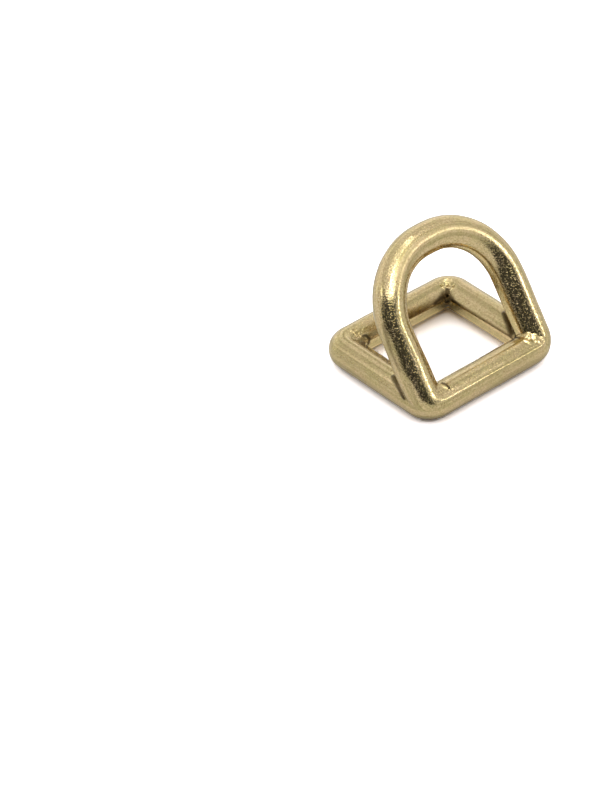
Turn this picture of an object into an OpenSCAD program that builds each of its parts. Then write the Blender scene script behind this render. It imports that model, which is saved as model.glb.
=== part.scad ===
// Solid brass D ring, cast in one piece with a square strap loop.
// The loop lies flat. The D shares the loop's front bar and leans back over the loop's hole.
// X runs along the shared bar, Y from the shared bar to the loop's back bar, Z up.
// The origin is on the surface that the loop lies on, under the middle of the loop.

/* [Strap loop] */
// outer width of the loop, from side to side
loop_w = 25; // [22:0.5:40]
// outer depth of the loop, from front to back
loop_d = 22.6; // [20:0.1:36]
// outer radius of the loop's corners
loop_corner_r = 4; // [3.2:0.1:7]
// thickness of the loop's bars
loop_bar_t = 4.7; // [3.6:0.1:6]
// distance from the middle of a loop bar to its flat inner face
loop_face_dist = 2.3; // [1.2:0.1:2.8]
// height of the flat inner face of a loop bar
loop_face_h = 1.8; // [1.2:0.1:2.8]

/* [D arch] */
// length of the D, from the middle of the shared bar to the arch's outer top
arch_len = 22.7; // [18:0.1:40]
// angle between the D and the loop, in degrees
arch_tilt = 54.5; // [40:0.5:90]
// how far the D's sides stay inside the loop's sides
arch_inset = 0.1; // [0.1:0.05:0.6]
// outer radius of the D's two lower corners
arch_corner_r = 3.6; // [3:0.1:7]
// length of the straight crown between the arch's two round shoulders
arch_crown_w = 1.2; // [0.2:0.1:6]
// thickness of the D's bar
arch_bar_t = 4.4; // [3.4:0.1:6]
// distance from the middle of the D's bar to its flat inner face
arch_face_dist = 2.1; // [1.2:0.1:2.6]
// height of the flat inner face of the D's bar
arch_face_h = 1.7; // [1.2:0.1:2.8]

/* [Edges] */
// radius worn onto both edges of the flat inner faces
edge_r = 0.35; // [0.1:0.05:0.5]

/* [Hidden] */
$fn = 96;
brass = [0.78, 0.66, 0.4];
// flats that make up each worn edge
edge_flats = 3;
loop_r = loop_bar_t / 2;
arch_r = arch_bar_t / 2;
arch_w = loop_w - 2 * arch_inset;
// the thicker of the two bars rests on the surface
bars_z = max(loop_r, arch_r);
shared_bar_y = loop_r - loop_d / 2;

// The worn edge between a bar's slope and its flat inner face, as points from top to bottom.
// The slope falls from the bar's crown at [0, r] to the inner face at [-face_dist, face_h / 2].
function worn_edge(r, face_dist, face_h) =
    let (
        slope = atan2(r - face_h / 2, face_dist),
        turn = 90 - slope,
        centre = [edge_r - face_dist, face_h / 2 - edge_r * tan(turn / 2)]
    )
    [for (i = [0:edge_flats])
        let (a = 90 + slope + i * turn / edge_flats)
        centre + edge_r * [cos(a), sin(a)]
    ];

// Cross-section of a bar: a half round on the outside (+X), sloping to a flat face on the inside.
module bar_section(r, face_dist, face_h) {
    upper_edge = worn_edge(r, face_dist, face_h);
    lower_edge = [for (i = [edge_flats:-1:0]) [upper_edge[i].x, -upper_edge[i].y]];
    // a corner inside the half round, so that the two shapes overlap
    inner_corner = [r / 2, 0];
    intersection() {
        circle(r = r);
        translate([0, -r])
            square([r, 2 * r]);
    }
    polygon(concat([inner_corner, [0, r]], upper_edge, lower_edge, [[0, -r]]));
}

// A straight bar that runs from the origin towards -Y.
module straight_bar(length, r, face_dist, face_h) {
    rotate([90, 0, 0])
        linear_extrude(height = length)
            bar_section(r, face_dist, face_h);
}

// A bar bent about the origin. bend_r is the radius of its outside.
module bent_bar(angle, bend_r, r, face_dist, face_h) {
    rotate_extrude(angle = angle)
        intersection() {
            translate([bend_r - r, 0])
                bar_section(r, face_dist, face_h);
            translate([0, -r])
                square([bend_r, 2 * r]);
        }
}

// One corner of the loop and the bar that runs on from it, at side_x from the loop's middle.
module loop_side(side_x, side_y) {
    corner_y = side_y - loop_corner_r;
    translate([side_x - loop_corner_r, corner_y, 0])
        bent_bar(90, loop_corner_r, loop_r, loop_face_dist, loop_face_h);
    translate([side_x - loop_r, corner_y, 0])
        straight_bar(2 * corner_y, loop_r, loop_face_dist, loop_face_h);
}

module strap_loop() {
    for (turn = [0, 180])
        rotate([0, 0, turn]) {
            loop_side(loop_w / 2, loop_d / 2);
            rotate([0, 0, 90])
                loop_side(loop_d / 2, loop_w / 2);
        }
}

// The D drawn flat, with its straight bar along X at y = 0 and its arch towards +Y.
module arch() {
    shoulder_r = (arch_w - arch_crown_w) / 2;
    shoulder_y = arch_len - shoulder_r;
    corner_x = arch_w / 2 - arch_corner_r;
    corner_y = arch_corner_r - arch_r;
    translate([-arch_crown_w / 2, arch_len - arch_r, 0])
        rotate([0, 0, 90])
            straight_bar(arch_crown_w, arch_r, arch_face_dist, arch_face_h);
    for (side = [0, 1])
        mirror([side, 0, 0]) {
            translate([arch_crown_w / 2, shoulder_y, 0])
                bent_bar(90, shoulder_r, arch_r, arch_face_dist, arch_face_h);
            translate([arch_w / 2 - arch_r, shoulder_y, 0])
                straight_bar(shoulder_y - corner_y, arch_r, arch_face_dist, arch_face_h);
            translate([corner_x, corner_y, 0])
                rotate([0, 0, -90])
                    bent_bar(90, arch_corner_r, arch_r, arch_face_dist, arch_face_h);
        }
    translate([corner_x, 0, 0])
        rotate([0, 0, -90])
            straight_bar(2 * corner_x, arch_r, arch_face_dist, arch_face_h);
}

module d_ring() {
    color(brass)
        translate([0, 0, bars_z]) {
            strap_loop();
            translate([0, shared_bar_y, 0])
                rotate([arch_tilt, 0, 0])
                    arch();
        }
}

d_ring();
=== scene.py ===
import math
from collections import namedtuple

import bpy
from mathutils import Matrix, Quaternion, Vector, noise


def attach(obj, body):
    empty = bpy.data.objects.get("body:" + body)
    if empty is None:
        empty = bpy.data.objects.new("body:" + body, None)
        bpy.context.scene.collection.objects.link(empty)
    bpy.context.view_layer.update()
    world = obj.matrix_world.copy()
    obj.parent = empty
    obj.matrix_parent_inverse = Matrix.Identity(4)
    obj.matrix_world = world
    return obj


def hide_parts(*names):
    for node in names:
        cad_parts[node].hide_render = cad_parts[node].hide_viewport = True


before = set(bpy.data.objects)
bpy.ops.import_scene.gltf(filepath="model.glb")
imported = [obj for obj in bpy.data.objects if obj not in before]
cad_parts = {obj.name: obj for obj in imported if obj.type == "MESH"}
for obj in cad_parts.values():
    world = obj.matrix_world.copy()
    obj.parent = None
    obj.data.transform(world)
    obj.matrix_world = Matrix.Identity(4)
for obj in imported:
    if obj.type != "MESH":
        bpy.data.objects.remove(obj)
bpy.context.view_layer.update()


# STRAP LOOP
# The flat, nearly square half of the casting, which a strap is folded round. It is solid brass.
# Its bar is half round outside, and inside it slopes from the crown to a narrow flat face,
# as the two halves of the mould left it. The bar is swept round the loop and closed.
LOOP_WIDTH = 0.0251
LOOP_DEPTH = 0.0227
LOOP_CORNER_RADIUS = 0.00405
LOOP_BAR_RADIUS = 0.0024
LOOP_FACE_DISTANCE = 0.0023
LOOP_FACE_HEIGHT = 0.0018
LOOP_SLOPE_BULGE = 0.00014
LOOP_FACE_EDGE_WEAR = 0.0002
CROWN_WEAR = 0.0006
SLOPE_WEAR = 0.0007
WEAR_STEPS = 6
BAR_OUTLINE_POINTS = 128
BEND_STEPS = 24
LEFT_TURN = -math.pi / 2
MERGE_DISTANCE = 0.000005


def deselect_all():
    bpy.ops.object.select_all(action="DESELECT")


def work_on(piece):
    deselect_all()
    piece.select_set(True)
    bpy.context.view_layer.objects.active = piece


def edit_all(piece):
    work_on(piece)
    bpy.ops.object.mode_set(mode="EDIT")
    bpy.ops.mesh.select_mode(type="VERT")
    bpy.ops.mesh.select_all(action="SELECT")


def select_points(piece, wanted):
    """Selects the points of the piece being edited for which wanted(place) is true."""
    bpy.ops.mesh.select_all(action="DESELECT")
    bpy.ops.object.mode_set(mode="OBJECT")
    for point in piece.data.vertices:
        point.select = wanted(point.co)
    bpy.ops.object.mode_set(mode="EDIT")


def run_straight(*step):
    bpy.ops.mesh.extrude_region_move(TRANSFORM_OT_translate={"value": step})


def bend_round(x, y, turn=LEFT_TURN):
    bpy.ops.mesh.spin(steps=BEND_STEPS, angle=turn, center=(x, y, 0), axis=(0, 0, 1))


def wear_corner(piece, x, z, width):
    """Rounds the outline's corner at x and z, and its mirror image below."""
    select_points(
        piece,
        lambda place: abs(place.x - x) < MERGE_DISTANCE and abs(abs(place.z) - z) < MERGE_DISTANCE,
    )
    bpy.ops.mesh.bevel(offset=width, segments=WEAR_STEPS, affect="VERTICES")


def cut_bar_end(name, bar_x, radius, face_distance, face_height, slope_bulge, face_edge_wear):
    """The bar's outline, upright at bar_x with its round side towards +X, left in edit mode."""
    deselect_all()
    bpy.ops.mesh.primitive_circle_add(
        vertices=BAR_OUTLINE_POINTS, radius=radius, rotation=(math.pi / 2, 0, 0)
    )
    piece = bpy.context.object
    piece.name = name
    bpy.ops.object.transform_apply(location=True, rotation=True, scale=True)
    edit_all(piece)
    select_points(piece, lambda place: place.x < -MERGE_DISTANCE)
    bpy.ops.mesh.delete(type="VERT")
    select_points(piece, lambda place: place.x < MERGE_DISTANCE and place.z > 0)
    slope = Vector((-face_distance, 0, face_height / 2 - radius))
    bulge = slope_bulge * Vector((slope.z, 0, -slope.x)).normalized()
    upper, lower = slope / 2 + bulge, slope / 2 - bulge
    run_straight(*upper)
    run_straight(*lower)
    run_straight(0, 0, -face_height)
    run_straight(-lower.x, 0, lower.z)
    run_straight(-upper.x, 0, upper.z)
    bpy.ops.mesh.select_all(action="SELECT")
    bpy.ops.mesh.remove_doubles(threshold=MERGE_DISTANCE)
    wear_corner(piece, 0, radius, CROWN_WEAR)
    wear_corner(piece, upper.x, radius + upper.z, SLOPE_WEAR)
    wear_corner(piece, -face_distance, face_height / 2, face_edge_wear)
    bpy.ops.mesh.select_all(action="SELECT")
    bpy.ops.transform.translate(value=(bar_x, 0, 0))
    return piece


def close_bar():
    bpy.ops.mesh.select_all(action="SELECT")
    bpy.ops.mesh.remove_doubles(threshold=MERGE_DISTANCE)
    bpy.ops.mesh.select_all(action="SELECT")
    bpy.ops.mesh.normals_make_consistent(inside=False)
    bpy.ops.object.mode_set(mode="OBJECT")


def place_piece(piece, location, tilt=0.0):
    work_on(piece)
    piece.location = location
    piece.rotation_euler = (tilt, 0, 0)
    bpy.ops.object.transform_apply(location=True, rotation=True, scale=True)


bend_x = LOOP_WIDTH / 2 - LOOP_CORNER_RADIUS
bend_y = LOOP_DEPTH / 2 - LOOP_CORNER_RADIUS
casting = cut_bar_end(
    "d_ring_casting",
    LOOP_WIDTH / 2 - LOOP_BAR_RADIUS,
    LOOP_BAR_RADIUS,
    LOOP_FACE_DISTANCE,
    LOOP_FACE_HEIGHT,
    LOOP_SLOPE_BULGE,
    LOOP_FACE_EDGE_WEAR,
)
run_straight(0, bend_y, 0)
bend_round(bend_x, bend_y)
run_straight(-2 * bend_x, 0, 0)
bend_round(-bend_x, bend_y)
run_straight(0, -2 * bend_y, 0)
bend_round(-bend_x, -bend_y)
run_straight(2 * bend_x, 0, 0)
bend_round(bend_x, -bend_y)
run_straight(0, bend_y, 0)
close_bar()
place_piece(casting, (0, 0, LOOP_BAR_RADIUS))


# D ARCH
# The D that a hook or split ring hangs on. It is poured together with the loop, so its straight
# side lies in the loop's front bar, and it leans back over the loop's hole.
# Its bar has the same section, a little thinner, and is swept flat and then tilted.
ARCH_HALF_WIDTH = 0.01255
ARCH_OFFSET = 0.00012
ARCH_LENGTH = 0.02275
ARCH_CORNER_RADIUS = 0.00375
ARCH_CROWN_WIDTH = 0.0012
ARCH_BAR_RADIUS = 0.00235
ARCH_FACE_DISTANCE = 0.00225
ARCH_FACE_HEIGHT = 0.0018
ARCH_SLOPE_BULGE = 0.00024
ARCH_FACE_EDGE_WEAR = 0.00055
ARCH_TILT = math.radians(54.5)

arch_bar_x = ARCH_HALF_WIDTH - ARCH_BAR_RADIUS
shoulder_radius = ARCH_HALF_WIDTH - ARCH_CROWN_WIDTH / 2
shoulder_y = ARCH_LENGTH - shoulder_radius
foot_bend_x = ARCH_HALF_WIDTH - ARCH_CORNER_RADIUS
foot_bend_y = ARCH_CORNER_RADIUS - ARCH_BAR_RADIUS
arch = cut_bar_end(
    "arch",
    arch_bar_x,
    ARCH_BAR_RADIUS,
    ARCH_FACE_DISTANCE,
    ARCH_FACE_HEIGHT,
    ARCH_SLOPE_BULGE,
    ARCH_FACE_EDGE_WEAR,
)
bpy.ops.transform.translate(value=(0, shoulder_y, 0))
bend_round(ARCH_CROWN_WIDTH / 2, shoulder_y)
run_straight(-ARCH_CROWN_WIDTH, 0, 0)
bend_round(-ARCH_CROWN_WIDTH / 2, shoulder_y)
run_straight(0, foot_bend_y - shoulder_y, 0)
bend_round(-foot_bend_x, foot_bend_y)
run_straight(2 * foot_bend_x, 0, 0)
bend_round(foot_bend_x, foot_bend_y)
run_straight(0, shoulder_y - foot_bend_y, 0)
close_bar()
shared_bar_y = LOOP_BAR_RADIUS - LOOP_DEPTH / 2
arch_place = Vector((ARCH_OFFSET, shared_bar_y, LOOP_BAR_RADIUS))
place_piece(arch, arch_place, ARCH_TILT)


# SHARED BAR
# The bar that the loop and the D have in common. The mould left a low flat strip along its top,
# which stops short of both corners, and the D's crown runs on along it as a fine round ridge.
# Both are part of the casting.
STRIP_LENGTH = 0.0147
STRIP_WIDTH = 0.00105
STRIP_THICKNESS = 0.0004
STRIP_TOP = 0.00246
STRIP_LEAN = math.radians(20)
RIDGE_RADIUS = 0.00042
RIDGE_SIDES = 16
RIDGE_TOP = 0.00255
RIDGE_RUN_OUT = 0.0004
RIDGE_DROP = 0.0004
RIDGE_DROP_LENGTH = 0.0017
RIGHT_TURN = -LEFT_TURN


def add_block(name, size, location, rotation):
    deselect_all()
    bpy.ops.mesh.primitive_cube_add(size=1, location=location, rotation=rotation, scale=size)
    block = bpy.context.object
    block.name = name
    bpy.ops.object.transform_apply(location=True, rotation=True, scale=True)
    return block


def share_between(value, low, high):
    """0 up to low, 1 from high on, and a straight rise between them."""
    return min(max((value - low) / (high - low), 0), 1)


strip_height = STRIP_TOP - STRIP_THICKNESS / 2
strip = add_block(
    "strip",
    (STRIP_LENGTH, STRIP_WIDTH, STRIP_THICKNESS),
    (
        0,
        shared_bar_y - strip_height * math.sin(STRIP_LEAN),
        LOOP_BAR_RADIUS + strip_height * math.cos(STRIP_LEAN),
    ),
    (STRIP_LEAN, 0, 0),
)

deselect_all()
bpy.ops.mesh.primitive_circle_add(
    vertices=RIDGE_SIDES,
    radius=RIDGE_RADIUS,
    fill_type="NGON",
    location=(arch_bar_x, foot_bend_y + RIDGE_RUN_OUT, RIDGE_TOP - RIDGE_RADIUS),
    rotation=(math.pi / 2, 0, 0),
)
ridge = bpy.context.object
ridge.name = "ridge"
bpy.ops.object.transform_apply(location=True, rotation=True, scale=True)
edit_all(ridge)
run_straight(0, -RIDGE_RUN_OUT, 0)
bend_round(foot_bend_x, foot_bend_y, RIGHT_TURN)
run_straight(-2 * foot_bend_x, 0, 0)
bend_round(-foot_bend_x, foot_bend_y, RIGHT_TURN)
run_straight(0, RIDGE_RUN_OUT, 0)
close_bar()
# both ends sink smoothly into the D's crown
for point in ridge.data.vertices:
    share = share_between(point.co.y, 0, RIDGE_DROP_LENGTH)
    point.co.z -= RIDGE_DROP * share * share * (3 - 2 * share)
place_piece(ridge, arch_place, ARCH_TILT)


# CORNERS
# The corners are as they came from the mould, because the tumbling drum does not reach them.
# The gate was broken off at the back inner corner, which left a pit under a raised lip. Creases
# run beside the D's legs, and the lip and both ends of the shared bar were trimmed flat.
# each groove is cut out of the casting, and round it brown tarnish with painted shade darkens the skin
# out to the groove's reaches
Groove = namedtuple("Groove", "name path radii tarnish_reaches")
GROOVES = (
    Groove(
        "pit",
        path=((0.0084, 0.00735, 0.00395), (0.0081, 0.00705, 0.00365), (0.00765, 0.00665, 0.0026)),
        radii=(0.00026, 0.0005),
        tarnish_reaches=(0.0004, 0.0009),
    ),
    Groove(
        "left_crease",
        path=((-0.01115, -0.0032, 0.0045), (-0.01175, -0.0050, 0.0041), (-0.01228, -0.0066, 0.0035)),
        radii=(0.00035, 0.0002),
        tarnish_reaches=(0.00045, 0.00035),
    ),
    Groove(
        "right_crease",
        path=((0.01125, -0.0031, 0.0045), (0.01180, -0.0048, 0.0041), (0.01230, -0.0064, 0.0035)),
        radii=(0.0003, 0.0002),
        tarnish_reaches=(0.0004, 0.00035),
    ),
    Groove(
        "inner_crease",
        path=((0.0098, -0.0027, 0.00465), (0.0092, -0.0041, 0.0043), (0.0084, -0.0059, 0.0036)),
        radii=(0.00026, 0.00022),
        tarnish_reaches=(0.0004, 0.0006),
    ),
    Groove(
        "left_hook",
        path=(
            (-0.00745, 0.0074, 0.0039),
            (-0.00695, 0.0073, 0.0038),
            (-0.0068, 0.0069, 0.0034),
            (-0.00715, 0.00665, 0.0029),
        ),
        radii=(0.00014, 0.0002),
        tarnish_reaches=(0.0002, 0.0003),
    ),
    Groove(
        "strip_end",
        path=((-0.00758, -0.0089, 0.0049), (-0.00745, -0.0096, 0.00482), (-0.00734, -0.0102, 0.00456)),
        radii=(0.00014, 0.00013),
        tarnish_reaches=(0.00022, 0.0002),
    ),
    Groove(
        "strip_hook",
        path=((0.0073, -0.0085, 0.00476), (0.0072, -0.0080, 0.0045), (0.0074, -0.0075, 0.0042)),
        radii=(0.00014, 0.00014),
        tarnish_reaches=(0.00025, 0.00025),
    ),
)
BALLS_PER_LEG = 7
Flat = namedtuple("Flat", "path half_width")
FLATS = (
    Flat(((0.0083, -0.0092, 0.0048), (0.0088, -0.0095, 0.0047)), 0.00038),
    Flat(((0.00742, -0.0096, 0.0047), (0.0076, -0.0099, 0.0046)), 0.00024),
    Flat(((0.0087, -0.0102, 0.0044), (0.0091, -0.0104, 0.0042)), 0.00022),
    Flat(((0.0080, -0.0084, 0.0047), (0.0081, -0.0085, 0.0047)), 0.00016),
    Flat(((0.0081, 0.0082, 0.00431), (0.0089, 0.0078, 0.00427), (0.0093, 0.0070, 0.00425)), 0.00026),
    Flat(((-0.00711, -0.01015, 0.00436), (-0.0070, -0.0103, 0.0043)), 0.00016),
    Flat(((-0.00755, -0.0108, 0.0038), (-0.0074, -0.0108, 0.0038)), 0.00012),
)
FLAT_FACING = Vector((-0.44, -0.52, 0.73)).normalized()
# a flat is full to its half width and has run out at this many half widths
FLAT_RUN_OUT = 2
WEB_SIZE = 0.0012
WEB_HEIGHT = 0.0014
WEB_SET_BACK = 0.0003
HOLE_HALF_WIDTH = LOOP_WIDTH / 2 - LOOP_BAR_RADIUS - LOOP_FACE_DISTANCE
HOLE_HALF_DEPTH = LOOP_DEPTH / 2 - LOOP_BAR_RADIUS - LOOP_FACE_DISTANCE


def add_ball(name, location, radius):
    deselect_all()
    bpy.ops.mesh.primitive_ico_sphere_add(subdivisions=2, radius=radius, location=location)
    ball = bpy.context.object
    ball.name = name
    bpy.ops.object.transform_apply(location=True, rotation=True, scale=True)
    return ball


# a row of balls along each groove, to be cut out of the casting
cutters = []
for groove in GROOVES:
    legs = len(groove.path) - 1
    first_radius, last_radius = groove.radii
    for step in range(legs * BALLS_PER_LEG + 1):
        leg = min(step // BALLS_PER_LEG, legs - 1)
        start, end = Vector(groove.path[leg]), Vector(groove.path[leg + 1])
        middle = start.lerp(end, step / BALLS_PER_LEG - leg)
        radius = first_radius + (last_radius - first_radius) * step / (legs * BALLS_PER_LEG)
        cutters.append(add_ball(groove.name, middle, radius))

# a small web of metal in three of the hole's four corners
webs = []
for side_x, side_y in ((-1, -1), (-1, 1), (1, -1)):
    web_x = side_x * (HOLE_HALF_WIDTH + WEB_SET_BACK)
    web_y = side_y * (HOLE_HALF_DEPTH + WEB_SET_BACK)
    webs.append(add_block(
        "web",
        (WEB_SIZE, WEB_SIZE, WEB_HEIGHT),
        (web_x, web_y, LOOP_BAR_RADIUS),
        (0, 0, math.pi / 4),
    ))


# ONE CASTING
# The loop and the D are one body with no seam, so the two sweeps are joined and given one skin.
# Tumbling in a drum has softened every edge and left the long bars very slightly uneven.
SKIN_GRID = 0.000165
TUMBLING_ROUNDS = 3
TUMBLING_SHARE = 0.5
LONG_WAVE_SIZE = 0.0055
LONG_WAVE_HEIGHT = 0.00008
SHORT_WAVE_SIZE = 0.0016
SHORT_WAVE_HEIGHT = 0.00002


def finish_modifier(piece, modifier):
    work_on(piece)
    bpy.ops.object.modifier_apply(modifier=modifier.name)


def add_unevenness(piece, name, size, height):
    waves = bpy.data.textures.new(name, "CLOUDS")
    waves.noise_scale = size
    waves.noise_depth = 1
    uneven = piece.modifiers.new(name, "DISPLACE")
    uneven.texture = waves
    uneven.texture_coords = "LOCAL"
    uneven.direction = "NORMAL"
    uneven.mid_level = 0.5
    uneven.strength = height
    finish_modifier(piece, uneven)


def join_pieces(target, others):
    work_on(target)
    for other in others:
        other.select_set(True)
    bpy.ops.object.join()


def give_skin(piece):
    skin = piece.modifiers.new("skin", "REMESH")
    skin.mode = "VOXEL"
    skin.voxel_size = SKIN_GRID
    skin.adaptivity = 0.0
    skin.use_smooth_shade = True
    finish_modifier(piece, skin)


join_pieces(casting, [arch, strip, ridge] + webs)
give_skin(casting)
cutter = cutters[0]
join_pieces(cutter, cutters[1:])
cuts = casting.modifiers.new("cuts", "BOOLEAN")
cuts.operation = "DIFFERENCE"
cuts.solver = "FAST"
cuts.object = cutter
finish_modifier(casting, cuts)
work_on(cutter)
bpy.ops.object.delete()
give_skin(casting)
tumbled = casting.modifiers.new("tumbled", "SMOOTH")
tumbled.factor = TUMBLING_SHARE
tumbled.iterations = TUMBLING_ROUNDS
finish_modifier(casting, tumbled)
add_unevenness(casting, "long_waves", LONG_WAVE_SIZE, LONG_WAVE_HEIGHT)
add_unevenness(casting, "short_waves", SHORT_WAVE_SIZE, SHORT_WAVE_HEIGHT)


# WEAR, TARNISH AND PAINTED SHADE
# The drum left fine streaks that run along the bars, and hooks have rubbed the arch dull. Painted
# shade darkens the foot of the slopes, and the loop's inner slopes are made a little darker. Brown
# tarnish with painted shade fills the grooves and creases and where the two bars meet, and a few
# painted dark patches stand for the shade in the back inner corner and for a reflection of the loop's
# bar on the
# D's left leg. Some spots are still rough, and three are fuller than the pattern.
BROAD_STREAK_SPACING = 0.0010
BROAD_STREAK_HEIGHT = 0.000035
FINE_STREAK_SPACING = 0.00045
FINE_STREAK_HEIGHT = 0.000008
# the streaks change this much more slowly along a bar than across it
ALONG_SHARE = 0.03
# where the two bars are about as near, a point counts as the loop's
LOOP_PREFERENCE = 0.0002
# painted shade: how far it reaches along the foot of the slopes, widest on the loop's back bar, and
# how much darker the loop's inner slopes are made
FACE_SHADE_REACH = 0.00012
BACK_SLOPE_SHADE_REACH = 0.0009
SIDE_SLOPE_SHADE_REACH = 0.0003
ARCH_SLOPE_SHADE_REACH = 0.0003
SLOPE_DARKENING = 0.12
CREASE_FROM = 0.0032
CREASE_FULL = 0.0044
CREASE_REACH = 0.0003
RUBBED_FROM = 0.0150
RUBBED_FULL = 0.0180
RUBBED_REACH = 0.0011
# painted dark patches: the first three paint the shade in the back inner corner, the last two paint a
# reflection of the loop's bar along the D's left leg
PaintedDark = namedtuple("PaintedDark", "path reaches depth")
PAINTED_DARKS = (
    PaintedDark(
        path=((0.0079, 0.0072, 0.0036), (0.0066, 0.0069, 0.0034), (0.0054, 0.0068, 0.0033)),
        reaches=(0.0007, 0.00025),
        depth=0.9,
    ),
    PaintedDark(
        path=((0.00815, 0.0067, 0.0034), (0.0080, 0.0054, 0.0032), (0.0080, 0.0036, 0.0032)),
        reaches=(0.0005, 0.00015),
        depth=0.9,
    ),
    PaintedDark(
        path=((0.0079, 0.0069, 0.0030), (0.00775, 0.0065, 0.0020)),
        reaches=(0.0007, 0.0005),
        depth=0.55,
    ),
    PaintedDark(
        path=((-0.01215, -0.0023, 0.01325), (-0.01238, -0.0033, 0.01155), (-0.01243, -0.0040, 0.0102)),
        reaches=(0.0003, 0.0004),
        depth=0.5,
    ),
    PaintedDark(
        path=((-0.01243, -0.0040, 0.0102), (-0.01240, -0.0048, 0.0091), (-0.01238, -0.0060, 0.0078)),
        reaches=(0.0004, 0.0002),
        depth=0.45,
    ),
)
RoughSpot = namedtuple("RoughSpot", "middle reach")
ROUGH_SPOTS = (
    RoughSpot((-0.0079, 0.0078, 0.0042), 0.0013),
    RoughSpot((0.0081, 0.0071, 0.0036), 0.0006),
    RoughSpot((0.0083, -0.0093, 0.0045), 0.0008),
    RoughSpot((-0.0110, -0.0030, 0.0044), 0.0007),
    RoughSpot((-0.0074, -0.0098, 0.0044), 0.0005),
)
ROUGH_SIZE = 0.0003
ROUGH_HEIGHT = 0.00017
Swelling = namedtuple("Swelling", "middle reach height")
SWELLINGS = (
    Swelling((-0.0089, -0.0010, 0.0160), 0.0032, 0.00018),
    Swelling((-0.0124, -0.0066, 0.0068), 0.0034, 0.00028),
    Swelling((0.0122, -0.0045, 0.0110), 0.0050, 0.00008),
)
BarSpot = namedtuple("BarSpot", "is_loop outwards up off_loop off_arch")

arch_to_flat = (Matrix.Translation(arch_place) @ Matrix.Rotation(ARCH_TILT, 4, "X")).inverted()


def rounded_distance(x, y, corner_x, corner_y, radius):
    """How far outside a line with rounded corners the place x, y is. Inside it is negative."""
    over_x, over_y = x - corner_x, y - corner_y
    return math.hypot(max(over_x, 0), max(over_y, 0)) + min(max(over_x, over_y), 0) - radius


def place_on_loop(place):
    """Outwards from the middle of the loop's bar, and up from it."""
    outwards = rounded_distance(
        abs(place.x), abs(place.y), bend_x, bend_y, LOOP_CORNER_RADIUS - LOOP_BAR_RADIUS
    )
    return outwards, place.z - LOOP_BAR_RADIUS


def place_on_arch(place):
    """Outwards from the middle of the D's bar, and up from it, square to the tilted D."""
    flat = arch_to_flat @ place
    if flat.y > shoulder_y:
        across = max(abs(flat.x) - ARCH_CROWN_WIDTH / 2, 0)
        outwards = math.hypot(across, flat.y - shoulder_y) - shoulder_radius + ARCH_BAR_RADIUS
    else:
        outwards = rounded_distance(
            abs(flat.x), -flat.y, foot_bend_x, -foot_bend_y, ARCH_CORNER_RADIUS - ARCH_BAR_RADIUS
        )
    return outwards, flat.z


def bar_spot(place):
    """Where the place is on the section of its bar, and how far outside each bar's round it is."""
    on_loop, on_arch = place_on_loop(place), place_on_arch(place)
    off_loop = math.hypot(*on_loop) - LOOP_BAR_RADIUS
    off_arch = math.hypot(*on_arch) - ARCH_BAR_RADIUS
    is_loop = off_loop < off_arch + LOOP_PREFERENCE
    outwards, up = on_loop if is_loop else on_arch
    return BarSpot(is_loop, outwards, up, off_loop, off_arch)


def near_path(place, path, first_reach, last_reach):
    """How far the place is from a path, as a share of the path's reach at its nearest point."""
    nearest = math.inf
    for leg, (start, end) in enumerate(zip(path, path[1:])):
        start, end = Vector(start), Vector(end)
        along = (place - start).dot(end - start) / (end - start).length_squared
        along = min(max(along, 0), 1)
        share = (leg + along) / (len(path) - 1)
        reach = first_reach + (last_reach - first_reach) * share
        nearest = min(nearest, (place - start.lerp(end, along)).length / reach)
    return nearest


def soft_fade(reaches_away):
    """1 in the middle of a mark, falling slowly to nearly 0 past its reach."""
    return math.exp(-reaches_away ** 2)


def crisp_fade(reaches_away):
    """1 in the middle of a mark, falling fast near its reach."""
    return math.exp(-reaches_away ** 4)


def painted_foot_shade_and_dark_slopes_at(place, spot):
    """The painted shade along the foot of a slope, or the slight darkening of the loop's inner slopes.
    """
    if spot.is_loop:
        face_distance, face_height = LOOP_FACE_DISTANCE, LOOP_FACE_HEIGHT
        on_back_bar = place.y - HOLE_HALF_DEPTH > abs(place.x) - HOLE_HALF_WIDTH
        slope_reach = BACK_SLOPE_SHADE_REACH if on_back_bar else SIDE_SLOPE_SHADE_REACH
    else:
        face_distance, face_height = ARCH_FACE_DISTANCE, ARCH_FACE_HEIGHT
        slope_reach = ARCH_SLOPE_SHADE_REACH
    past_face = spot.outwards + face_distance
    past_edge = abs(spot.up) - face_height / 2
    reach = slope_reach if past_edge > 0 and spot.up > 0 else FACE_SHADE_REACH
    line = soft_fade(math.hypot(past_face, past_edge) / reach)
    darker_slope = 0.0
    if spot.off_loop < spot.off_arch and spot.up > 0:
        darker_slope = SLOPE_DARKENING * share_between(-spot.outwards, 0, LOOP_FACE_DISTANCE)
    return max(line, darker_slope)


def recess_tarnish_and_painted_shade_at(place, spot):
    """How dark the brown tarnish and painted shade are in the grooves, in the painted dark patches and
    where the two bars meet.
    """
    in_groove = min(near_path(place, groove.path, *groove.tarnish_reaches) for groove in GROOVES)
    depths = [crisp_fade(in_groove)]
    for painted_dark in PAINTED_DARKS:
        depths.append(painted_dark.depth * crisp_fade(near_path(place, painted_dark.path, *painted_dark.reaches)))
    # painted shade where the D's legs meet the loop
    up_leg = share_between((arch_to_flat @ place).y, CREASE_FROM, CREASE_FULL)
    gap = max(spot.off_loop, spot.off_arch, 0)
    depths.append(up_leg * crisp_fade(gap / CREASE_REACH))
    return max(depths)


def rubbed_at(place, spot):
    """How dull the crown of the arch has been rubbed."""
    if spot.up <= 0:
        return 0.0
    up_arch = share_between((arch_to_flat @ place).y, RUBBED_FROM, RUBBED_FULL)
    return up_arch * crisp_fade(spot.outwards / RUBBED_REACH)


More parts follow.
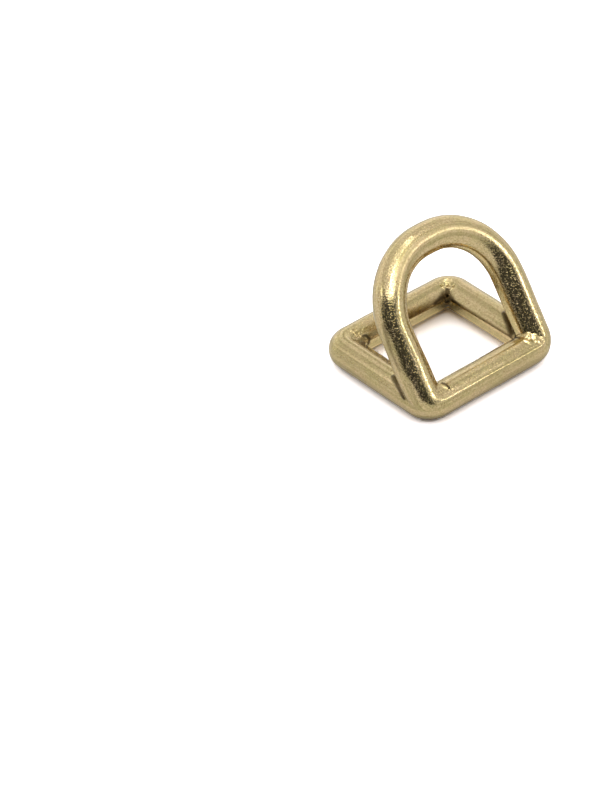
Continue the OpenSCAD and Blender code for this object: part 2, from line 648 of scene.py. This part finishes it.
def rise_at(place, bar_place, rough_share):
    """How far the streaks, the rough spots and the swellings raise the skin."""
    rise = BROAD_STREAK_HEIGHT * noise.noise(bar_place / BROAD_STREAK_SPACING)
    rise += FINE_STREAK_HEIGHT * noise.noise(bar_place / FINE_STREAK_SPACING)
    rise += ROUGH_HEIGHT * rough_share * noise.noise(place / ROUGH_SIZE)
    for swelling in SWELLINGS:
        reaches_away = (place - Vector(swelling.middle)).length / swelling.reach
        rise += swelling.height * soft_fade(reaches_away)
    return rise


def trimming_at(place):
    """How the file that trimmed the flats moves this place."""
    move = Vector()
    for flat in FLATS:
        away = near_path(place, flat.path, flat.half_width, flat.half_width)
        if away < FLAT_RUN_OUT:
            nearest = min((Vector(end) for end in flat.path), key=lambda end: (end - place).length)
            height = (place - nearest).dot(FLAT_FACING)
            move -= FLAT_FACING * height * min(1, FLAT_RUN_OUT - away)
    return move


marks = {"painted_foot_shade_and_dark_slopes": [], "recess_tarnish_and_painted_shade": [], "rough": [], "rubbed": []}
bar_places, worn_places = [], []
for point in casting.data.vertices:
    place = point.co
    spot = bar_spot(place)
    bar_place = Vector((spot.outwards, spot.up, (place.x + place.y + place.z) * ALONG_SHARE))
    rough_share = max(
        soft_fade((place - Vector(rough_spot.middle)).length / rough_spot.reach)
        for rough_spot in ROUGH_SPOTS
    )
    marks["painted_foot_shade_and_dark_slopes"].append(painted_foot_shade_and_dark_slopes_at(place, spot))
    marks["recess_tarnish_and_painted_shade"].append(recess_tarnish_and_painted_shade_at(place, spot))
    marks["rough"].append(rough_share)
    marks["rubbed"].append(rubbed_at(place, spot))
    bar_places.extend(bar_place)
    rise = rise_at(place, bar_place, rough_share)
    worn_places.extend(place + point.normal * rise + trimming_at(place))
casting.data.vertices.foreach_set("co", worn_places)
for name, values in marks.items():
    mark = casting.data.attributes.new(name, "FLOAT", "POINT")
    mark.data.foreach_set("value", values)
bar_mark = casting.data.attributes.new("bar_place", "FLOAT_VECTOR", "POINT")
bar_mark.data.foreach_set("vector", bar_places)
casting.data.update()


# CAST BRASS
# Solid yellow brass, tumbled bright and never lacquered, so it has faint greenish patches. Streaks
# run along the bars, and a fine cast grain and small dings are left in the skin. Painted shade darkens
# the bars towards the floor and along the foot of the slopes, the loop's inner slopes are a little
# darker, and brown tarnish with painted shade fills the recesses. The rubbed crown of the arch is
# satin.
YELLOW_BRASS = (0.78, 0.615, 0.35, 1)
GREENISH_BRASS = (0.74, 0.605, 0.32, 1)
BROAD_STREAK_SHADE = (0.72, 0.74, 0.66, 1)
FINE_STREAK_SHADE = (0.78, 0.78, 0.72, 1)
GRAIN_SHADE = (0.5, 0.42, 0.3, 1)
DING_SHADE = (0.4, 0.3, 0.2, 1)
# colour of the painted shade along the foot of the slopes, also used to darken the loop's inner slopes
# a little
PAINTED_FOOT_SHADE_AND_DARK_SLOPES = (0.17, 0.12, 0.045, 1)
# colour of the brown tarnish with painted shade in the grooves, creases and where the bars meet, and
# of the painted dark patches
RECESS_TARNISH_AND_PAINTED_SHADE = (0.07, 0.045, 0.016, 1)
# colour of the painted shade near the floor
PAINTED_UNDERSIDE_SHADE = (0.56, 0.5, 0.4, 1)
# a noise pattern has about this many cells to a metre
BROAD_STREAK_SCALE = 1150
FINE_STREAK_SCALE = 3000
GRAIN_SCALE = 3900
PATCH_SCALE = 420
DING_SCALE = 4500
DING_STAIN = 0.2
PAINTED_FOOT_SHADE_AND_DARK_SLOPES_DEPTH = 0.9
RECESS_TARNISH_AND_PAINTED_SHADE_DEPTH = 0.95
UNDERSIDE_FULL_BELOW = 0.0006
UNDERSIDE_NONE_ABOVE = 0.0014
UNDERSIDE_DEPTH = 0.75
BRIGHT_ROUGHNESS = 0.05
SATIN_ROUGHNESS = 0.11
RUBBED_ROUGHNESS = 0.27
RELIEF_DISTANCE = 0.00003
GRAIN_RELIEF = 0.47
ROUGH_SPOT_RELIEF = 2.3
STREAK_RELIEF = 0.45
DING_RELIEF = 0.45

brass = bpy.data.materials.new("cast_brass")
brass.use_nodes = True
nodes, links = brass.node_tree.nodes, brass.node_tree.links
nodes.clear()
output = nodes.new("ShaderNodeOutputMaterial")
metal = nodes.new("ShaderNodeBsdfPrincipled")
metal.inputs["Metallic"].default_value = 1.0
links.new(metal.outputs["BSDF"], output.inputs["Surface"])


def read_mark(name, socket="Fac"):
    mark = nodes.new("ShaderNodeAttribute")
    mark.attribute_name = name
    return mark.outputs[socket]


def add_noise(vector, scale, detail, roughness):
    pattern = nodes.new("ShaderNodeTexNoise")
    pattern.inputs["Scale"].default_value = scale
    pattern.inputs["Detail"].default_value = detail
    pattern.inputs["Roughness"].default_value = roughness
    links.new(vector, pattern.inputs["Vector"])
    return pattern.outputs["Fac"]


def in_range(value, low, high, at_low=0.0, at_high=1.0):
    remap = nodes.new("ShaderNodeMapRange")
    remap.inputs["From Min"].default_value = low
    remap.inputs["From Max"].default_value = high
    remap.inputs["To Min"].default_value = at_low
    remap.inputs["To Max"].default_value = at_high
    links.new(value, remap.inputs["Value"])
    return remap.outputs["Result"]


def combine(operation, first, second):
    calculation = nodes.new("ShaderNodeMath")
    calculation.operation = operation
    for socket, value in zip(calculation.inputs, (first, second)):
        if isinstance(value, float):
            socket.default_value = value
        else:
            links.new(value, socket)
    return calculation.outputs["Value"]


def mix_colours(blend, factor, first, second):
    mixer = nodes.new("ShaderNodeMix")
    mixer.data_type = "RGBA"
    mixer.blend_type = blend
    for name, value in (("Factor_Float", factor), ("A_Color", first), ("B_Color", second)):
        socket = next(s for s in mixer.inputs if s.identifier == name)
        if isinstance(value, tuple):
            socket.default_value = value
        else:
            links.new(value, socket)
    return next(s for s in mixer.outputs if s.identifier == "Result_Color")


in_casting = nodes.new("ShaderNodeTexCoord").outputs["Object"]
on_bar = read_mark("bar_place", "Vector")
fine_streaks = add_noise(on_bar, FINE_STREAK_SCALE, detail=2, roughness=0.6)
broad_streaks = add_noise(on_bar, BROAD_STREAK_SCALE, detail=1, roughness=0.5)
grain = add_noise(in_casting, GRAIN_SCALE, detail=2, roughness=0.65)
patches = add_noise(in_casting, PATCH_SCALE, detail=3, roughness=0.6)
ding_noise = add_noise(in_casting, DING_SCALE, detail=1, roughness=0.5)
dings = in_range(ding_noise, low=0.34, high=0.46, at_low=1.0, at_high=0.0)
heights = nodes.new("ShaderNodeSeparateXYZ")
links.new(in_casting, heights.inputs["Vector"])
# painted shade: the bars darken towards the floor, standing in for the shadowed floor that their
# undersides reflect
painted_underside_shade = in_range(
    heights.outputs["Z"],
    low=UNDERSIDE_FULL_BELOW,
    high=UNDERSIDE_NONE_ABOVE,
    at_low=UNDERSIDE_DEPTH,
    at_high=0.0,
)

colour = mix_colours("MIX", in_range(patches, low=0.4, high=0.6), YELLOW_BRASS, GREENISH_BRASS)
for amount, shade in (
    (in_range(broad_streaks, low=0.46, high=0.6, at_high=0.85), BROAD_STREAK_SHADE),
    (in_range(fine_streaks, low=0.45, high=0.7, at_high=0.8), FINE_STREAK_SHADE),
    (in_range(grain, low=0.3, high=0.6, at_low=0.55, at_high=0.0), GRAIN_SHADE),
    (combine("MULTIPLY", dings, DING_STAIN), DING_SHADE),
    # painted shade along the foot of the slopes, and the loop's inner slopes a little darker
    (combine("MULTIPLY", read_mark("painted_foot_shade_and_dark_slopes"), PAINTED_FOOT_SHADE_AND_DARK_SLOPES_DEPTH), PAINTED_FOOT_SHADE_AND_DARK_SLOPES),
    # brown tarnish with painted shade in the recesses, and the painted dark patches
    (combine("MULTIPLY", read_mark("recess_tarnish_and_painted_shade"), RECESS_TARNISH_AND_PAINTED_SHADE_DEPTH), RECESS_TARNISH_AND_PAINTED_SHADE),
    # painted shade towards the floor
    (painted_underside_shade, PAINTED_UNDERSIDE_SHADE),
):
    colour = mix_colours("MULTIPLY", amount, colour, shade)
links.new(colour, metal.inputs["Base Color"])

polish = in_range(
    broad_streaks, low=0.3, high=0.7, at_low=BRIGHT_ROUGHNESS, at_high=SATIN_ROUGHNESS
)
rubbing = combine("MULTIPLY", read_mark("rubbed"), RUBBED_ROUGHNESS)
links.new(combine("ADD", polish, rubbing), metal.inputs["Roughness"])

grain_relief = in_range(
    read_mark("rough"), low=0.0, high=1.0, at_low=GRAIN_RELIEF, at_high=ROUGH_SPOT_RELIEF
)
relief = combine("MULTIPLY", grain, grain_relief)
relief = combine("ADD", relief, combine("MULTIPLY", fine_streaks, STREAK_RELIEF))
relief = combine("SUBTRACT", relief, combine("MULTIPLY", dings, DING_RELIEF))
bump = nodes.new("ShaderNodeBump")
bump.inputs["Strength"].default_value = 1.0
bump.inputs["Distance"].default_value = RELIEF_DISTANCE
links.new(relief, bump.inputs["Height"])
links.new(bump.outputs["Normal"], metal.inputs["Normal"])
casting.data.materials.clear()
casting.data.materials.append(brass)

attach(casting, "root")
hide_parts("d_ring")


# FLOOR
# A large sheet of white card that the ring lies on. The camera sees it more than twice as bright
# as the ring and the light see it, as on an overexposed product table, and the ring's reflections
# see a brighter patch of it inside the loop. So three sheets lie a hair apart.
FLOOR_SIZE = 6.0
FLOOR_DEPTH = 0.00002
BRIGHT_PATCH_DEPTH = 0.000015
TABLE_TOP_DEPTH = 0.00001
CARD_WHITE = (0.9, 0.9, 0.9)
BRIGHT_PATCH_WHITE = (1.5, 1.5, 1.5)
OVEREXPOSED_WHITE = (2.35, 2.3, 2.4)


def matt_card(name, colour):
    card = bpy.data.materials.new(name)
    card.use_nodes = True
    card.node_tree.nodes.clear()
    card_output = card.node_tree.nodes.new("ShaderNodeOutputMaterial")
    paper = card.node_tree.nodes.new("ShaderNodeBsdfDiffuse")
    paper.inputs["Color"].default_value = (*colour, 1)
    card.node_tree.links.new(paper.outputs["BSDF"], card_output.inputs["Surface"])
    return card


def lay_sheet(name, width, depth, below, card):
    deselect_all()
    bpy.ops.mesh.primitive_plane_add(size=1, location=(0, 0, -below))
    sheet = bpy.context.object
    sheet.name = name
    sheet.scale = (width, depth, 1)
    bpy.ops.object.transform_apply(location=True, rotation=True, scale=True)
    sheet.data.materials.append(card)
    return sheet


lay_sheet("floor", FLOOR_SIZE, FLOOR_SIZE, FLOOR_DEPTH, matt_card("white_card", CARD_WHITE))
table_top = lay_sheet(
    "table_top",
    FLOOR_SIZE,
    FLOOR_SIZE,
    TABLE_TOP_DEPTH,
    matt_card("overexposed_card", OVEREXPOSED_WHITE),
)
table_top.visible_diffuse = False
table_top.visible_glossy = False
table_top.visible_transmission = False
table_top.visible_shadow = False
# a painted pool of light: hidden from the camera and casting no shadow, this sheet inside the loop
# sends back more light than falls on it, so the ring's inner faces reflect a bright floor
bright_patch = lay_sheet(
    "bright_patch",
    2 * HOLE_HALF_WIDTH,
    2 * HOLE_HALF_DEPTH,
    BRIGHT_PATCH_DEPTH,
    matt_card("bright_card", BRIGHT_PATCH_WHITE),
)
bright_patch.visible_camera = False
bright_patch.visible_shadow = False


# LIGHT TENT
# White walls all round, with a wide lamp over the camera and others at its sides, overhead and
# behind. Directions are given as seen from the ring: azimuth 0 is towards the camera and
# positive to the camera's right. Widths and heights are in degrees too.
CAMERA_AZIMUTH = -39.76
TENT_RADIUS = 1.0
TENT_LIGHT = 0.8
Lamp = namedtuple("Lamp", "name azimuth elevation width height radiance only_gloss")
LAMPS = (
    Lamp("lamp_over_camera", 3, 57, 76, 15, 1.8, False),
    Lamp("lamp_over_shoulder", 18, 65, 20, 25, 4.4, True),
    Lamp("lamp_left", -75, 35, 24, 10, 1.5, False),
    Lamp("lamp_right", 74, 36, 8, 18, 1.0, False),
    Lamp("lamp_crown", 76, 20.5, 26, 7, 4.5, True),
    Lamp("lamp_front_right", 52, 21, 48, 6, 0.7, False),
    Lamp("lamp_top", 0, 90, 40, 40, 0.5, False),
    Lamp("lamp_zenith", 138, 74, 30, 9, 1.8, True),
    Lamp("lamp_back", 180, 16, 80, 42, 0.3, False),
    Lamp("lamp_back_left", -125, 15, 50, 40, 0.25, False),
)


def tent_place(azimuth, elevation):
    turn = math.radians(azimuth + CAMERA_AZIMUTH)
    height = math.radians(elevation)
    return TENT_RADIUS * Vector((
        math.sin(turn) * math.cos(height),
        -math.cos(turn) * math.cos(height),
        math.sin(height),
    ))


def hang_lamp(lamp):
    width = 2 * TENT_RADIUS * math.tan(math.radians(lamp.width) / 2)
    height = 2 * TENT_RADIUS * math.tan(math.radians(lamp.height) / 2)
    light = bpy.data.lights.new(lamp.name, "AREA")
    light.shape = "RECTANGLE"
    light.size = width
    light.size_y = height
    light.energy = lamp.radiance * width * height * math.pi
    hung = bpy.data.objects.new(lamp.name, light)
    bpy.context.scene.collection.objects.link(hung)
    hung.location = tent_place(lamp.azimuth, lamp.elevation)
    hung.rotation_mode = "QUATERNION"
    hung.rotation_quaternion = hung.location.to_track_quat("Z", "Y")
    hung.visible_camera = False
    hung.visible_diffuse = not lamp.only_gloss


world = bpy.data.worlds.new("tent")
bpy.context.scene.world = world
world.use_nodes = True
world.node_tree.nodes["Background"].inputs["Color"].default_value = (1, 1, 1, 1)
world.node_tree.nodes["Background"].inputs["Strength"].default_value = TENT_LIGHT
for lamp in LAMPS:
    hang_lamp(lamp)


# DARK FRONT
# The tent is open in front, where the room is dark. It is made of curved grey cards side by side,
# which the camera does not see. Angles are in degrees, as for the lamps.
CARD_STEPS = 24
DARK_TOP = 47
DarkCard = namedtuple("DarkCard", "name azimuth_from azimuth_to bottom grey")
DARK_CARDS = (
    DarkCard("dark_left", -62, 5, 1, 0.09),
    DarkCard("dark_middle", 5, 32, 1, 0.1),
    DarkCard("dark_right", 32, 44, 1, 0.22),
    DarkCard("dark_high_right", 44, 62, 34, 0.22),
)


def hang_dark_card(dark):
    deselect_all()
    bpy.ops.mesh.primitive_grid_add(x_subdivisions=CARD_STEPS, y_subdivisions=1, size=2)
    card = bpy.context.object
    card.name = dark.name
    for point in card.data.vertices:
        azimuth_share = share_between(point.co.x, -1, 1)
        height_share = share_between(point.co.y, -1, 1)
        point.co = tent_place(
            dark.azimuth_from + (dark.azimuth_to - dark.azimuth_from) * azimuth_share,
            dark.bottom + (DARK_TOP - dark.bottom) * height_share,
        )
    card.data.materials.append(matt_card(dark.name + "_paper", (dark.grey,) * 3))
    card.visible_camera = False


for dark in DARK_CARDS:
    hang_dark_card(dark)


# CAMERA
# A long lens, a little over half a metre from the ring, looks down on it from its front left.
# The aim is where the middle of the picture meets the floor, and the camera is rolled slightly.
CAMERA_PLACE = Vector((-0.2995815, -0.3296997, 0.3324772))
CAMERA_AIM = Vector((-0.0201, 0.00625, 0))
CAMERA_ROLL = math.radians(-1.939)
SENSOR_MM = 36.0
FOCAL_LENGTH_MM = 180.0

camera_data = bpy.data.cameras.new("camera")
camera_data.sensor_width = SENSOR_MM
camera_data.lens = FOCAL_LENGTH_MM
camera_data.clip_start = 0.01
camera_data.clip_end = 20
camera = bpy.data.objects.new("camera", camera_data)
bpy.context.scene.collection.objects.link(camera)
camera.location = CAMERA_PLACE
camera.rotation_mode = "QUATERNION"
level = (CAMERA_AIM - CAMERA_PLACE).to_track_quat("-Z", "Y")
camera.rotation_quaternion = level @ Quaternion((0, 0, 1), CAMERA_ROLL)
bpy.context.scene.camera = camera
bpy.context.scene.view_settings.view_transform = "Standard"
bpy.context.scene.view_settings.look = "None"
